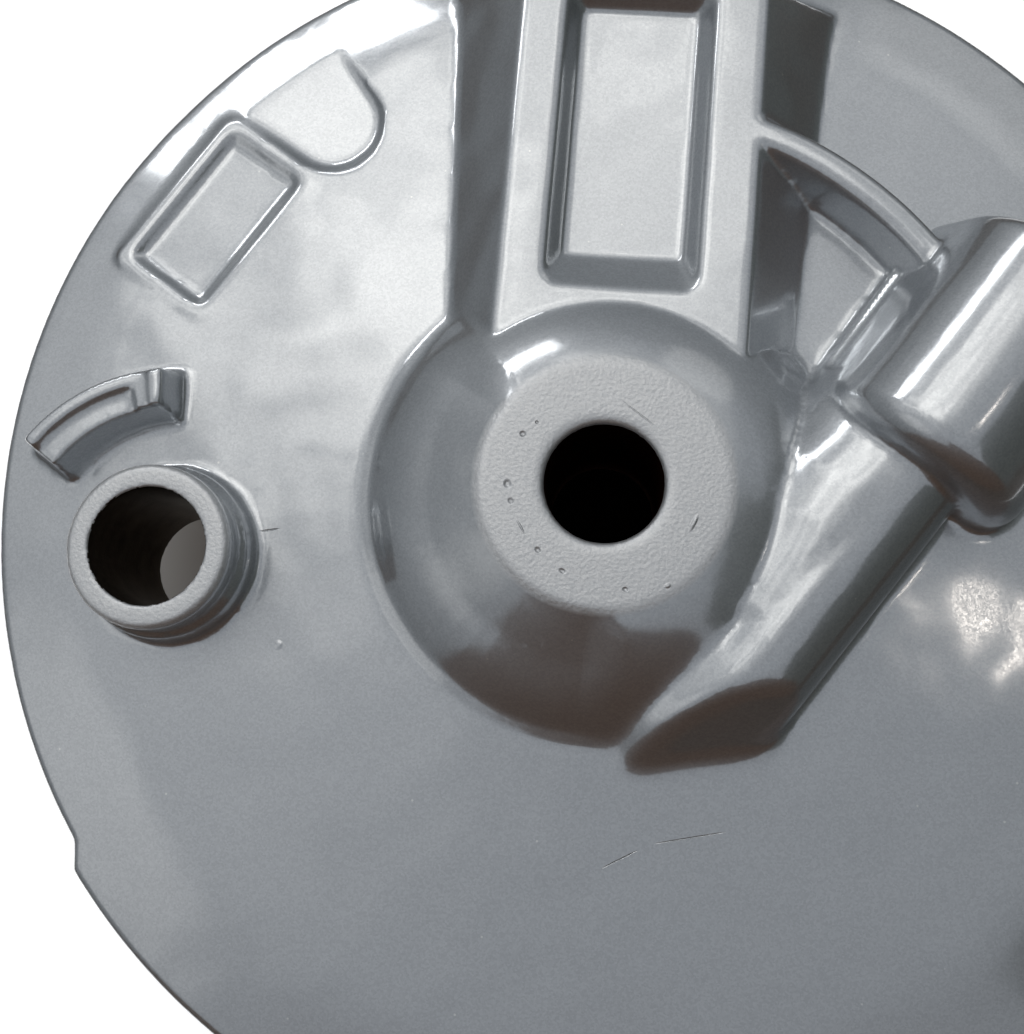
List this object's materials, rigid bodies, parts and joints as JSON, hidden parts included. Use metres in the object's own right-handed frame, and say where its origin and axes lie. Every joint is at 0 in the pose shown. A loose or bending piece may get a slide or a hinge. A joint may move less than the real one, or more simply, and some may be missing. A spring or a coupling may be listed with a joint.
{
  "type": "front drum brake panel",
  "caption": "Round cast panel that closes a motorcycle's front drum brake, with axle and cam bores, torque ridge, arc stop and speedometer drive housing.",
  "frame": {"origin": "on the axle bore's axis, level with the foot of the hub cone on the outer face", "axes": "+Z along the axle bore, out of the wheel; +Y along the torque ridge, from the hub to the rim"},
  "size_m": [0.1362, 0.138, 0.0509],
  "materials": {
    "brake_panel": "silver metallic paint, gloss",
    "anchor_pin": "satin"
  },
  "bodies": {
    "root": {"brake_panel": "brake_panel", "anchor_pin": "anchor_pin"}
  },
  "joints": []
}
